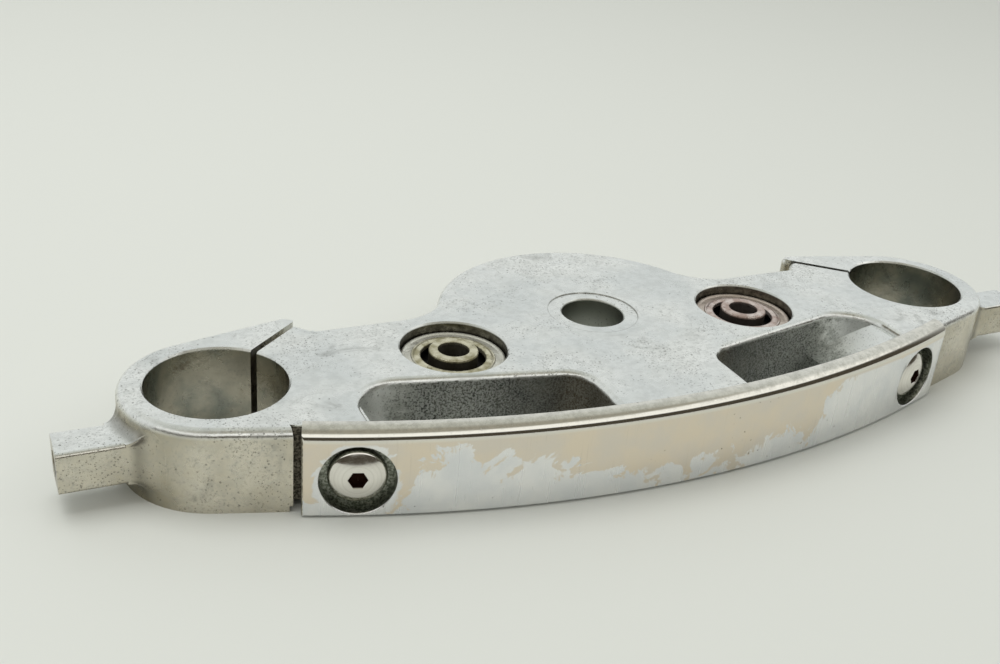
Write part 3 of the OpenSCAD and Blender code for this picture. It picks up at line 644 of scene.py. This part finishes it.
def stub_thread(side, word, tool, inputs):
    """The thread of a stub's hole, from near its end to near its floor."""
    name = "stub_thread_" + word
    holder = bpy.data.objects.new(name, bpy.data.meshes.new(name))
    bpy.context.scene.collection.objects.link(holder)
    work = holder.modifiers.new("thread", "NODES")
    work.node_group = tool
    floor_gap, mouth_gap = 0.6, 0.9
    values = {"Turns": (STUB_HOLE_DEPTH - (floor_gap + mouth_gap)) / THREAD_PITCH, "Pitch": THREAD_PITCH * MM,
              "Radius": (STUB_HOLE_R - SKIN) * MM, "Depth": THREAD_DEPTH * MM,
              "Finish": finishes["upper_clamp"]}
    for key, value in values.items():
        work[inputs[key]] = value
    floor_x = STUB_END[0] - STUB_HOLE_DEPTH + floor_gap
    place = Matrix.Translation(Vector((side * floor_x, STUB_END[1], STUB_END[2])) * MM)
    plain_mesh(holder, name).transform(place @ Matrix.Rotation(side * pi / 2, 4, "Y"))
    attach(holder, "root")


fine_cover()
for make in (domed_head, drawn_cup, flared_neck):
    for side, word in SIDES:
        make(side, word)
tool, tool_inputs = thread_tool()
for side, word in SIDES:
    stub_thread(side, word, tool, tool_inputs)


# Floor and light

def paper_floor():
    """Pale matte board that the part lies on, 6 m square."""
    half = 3.0
    corners = [(x * half, y * half, 0) for x, y in ((-1, -1), (1, -1), (1, 1), (-1, 1))]
    mesh = bpy.data.meshes.new("floor")
    mesh.from_pydata(corners, [], [(0, 1, 2, 3)])
    floor = bpy.data.objects.new("floor", mesh)
    bpy.context.scene.collection.objects.link(floor)
    mesh.materials.append(new_material("pale board", Base_Color=linear("#D2D4CF"), Roughness=0.6)[0])


def studio_world():
    """A pale room. Behind the camera a dark edge stands just above the table, with bright windows over it
    and a dull ceiling, which mirrors show as lines; the wall behind the part is pale and cool."""
    world = bpy.data.worlds.new("studio")
    world.use_nodes = True
    tree = world.node_tree
    background = tree.nodes["Background"].inputs
    way = add(tree, "ShaderNodeTexCoord", out="Generated")
    way = add(tree, "ShaderNodeSeparateXYZ", [way]).node.outputs
    y, z = way["Y"], way["Z"]
    room = coats(tree, [1.1, 1.1, 1.06, 1.0], (where(tree, (z, 0.7, 0.8)), 1, "#A5A295"),
                 (where(tree, (z, 0.0, 0.02), (z, 0.45, 0.38)), 1, "#4A453C"))
    sky = coats(tree, "#E4E7E5", (where(tree, (z, 0.5, 1.0)), 1, "#C9CBC3"),
                (where(tree, (y, 0.1, -0.3)), 1, room))
    tree.links.new(sky, background["Color"])
    background["Strength"].default_value = 1.0
    bpy.context.scene.world = world


def soft_box():
    """One soft light of 10 W above and a little behind the part, which mirrors don't show."""
    lamp = bpy.data.lights.new("soft box", "AREA")
    lamp.shape, lamp.size, lamp.energy = "SQUARE", 1.0, 10
    light = bpy.data.objects.new("soft box", lamp)
    bpy.context.scene.collection.objects.link(light)
    light.location = (-0.3, 0.2, 1.3)
    light.rotation_euler = (-light.location).to_track_quat("-Z", "Y").to_euler()
    light.visible_glossy = False


def camera_at(eye, heading, dip, tilt, lens):
    """The camera at the photograph's place, in millimetres, with its angles in radians."""
    ahead = Vector((sin(heading) * cos(dip), cos(heading) * cos(dip), -sin(dip)))
    level = ahead.cross(UPRIGHT).normalized()
    upright = level.cross(ahead)
    across = cos(tilt) * level + sin(tilt) * upright
    up = cos(tilt) * upright - sin(tilt) * level
    data = bpy.data.cameras.new("camera")
    data.lens = lens
    camera = bpy.data.objects.new("camera", data)
    bpy.context.scene.collection.objects.link(camera)
    turn = Matrix((across, up, -ahead)).transposed().to_4x4()
    camera.matrix_world = Matrix.Translation(Vector(eye) * MM) @ turn
    bpy.context.scene.camera = camera


paper_floor()
studio_world()
soft_box()
camera_at(eye=(-202.97, -318.18, 203.18), heading=0.4825, dip=0.4617, tilt=0.0912, lens=42.045)
bpy.context.scene.view_settings.view_transform = "Standard"
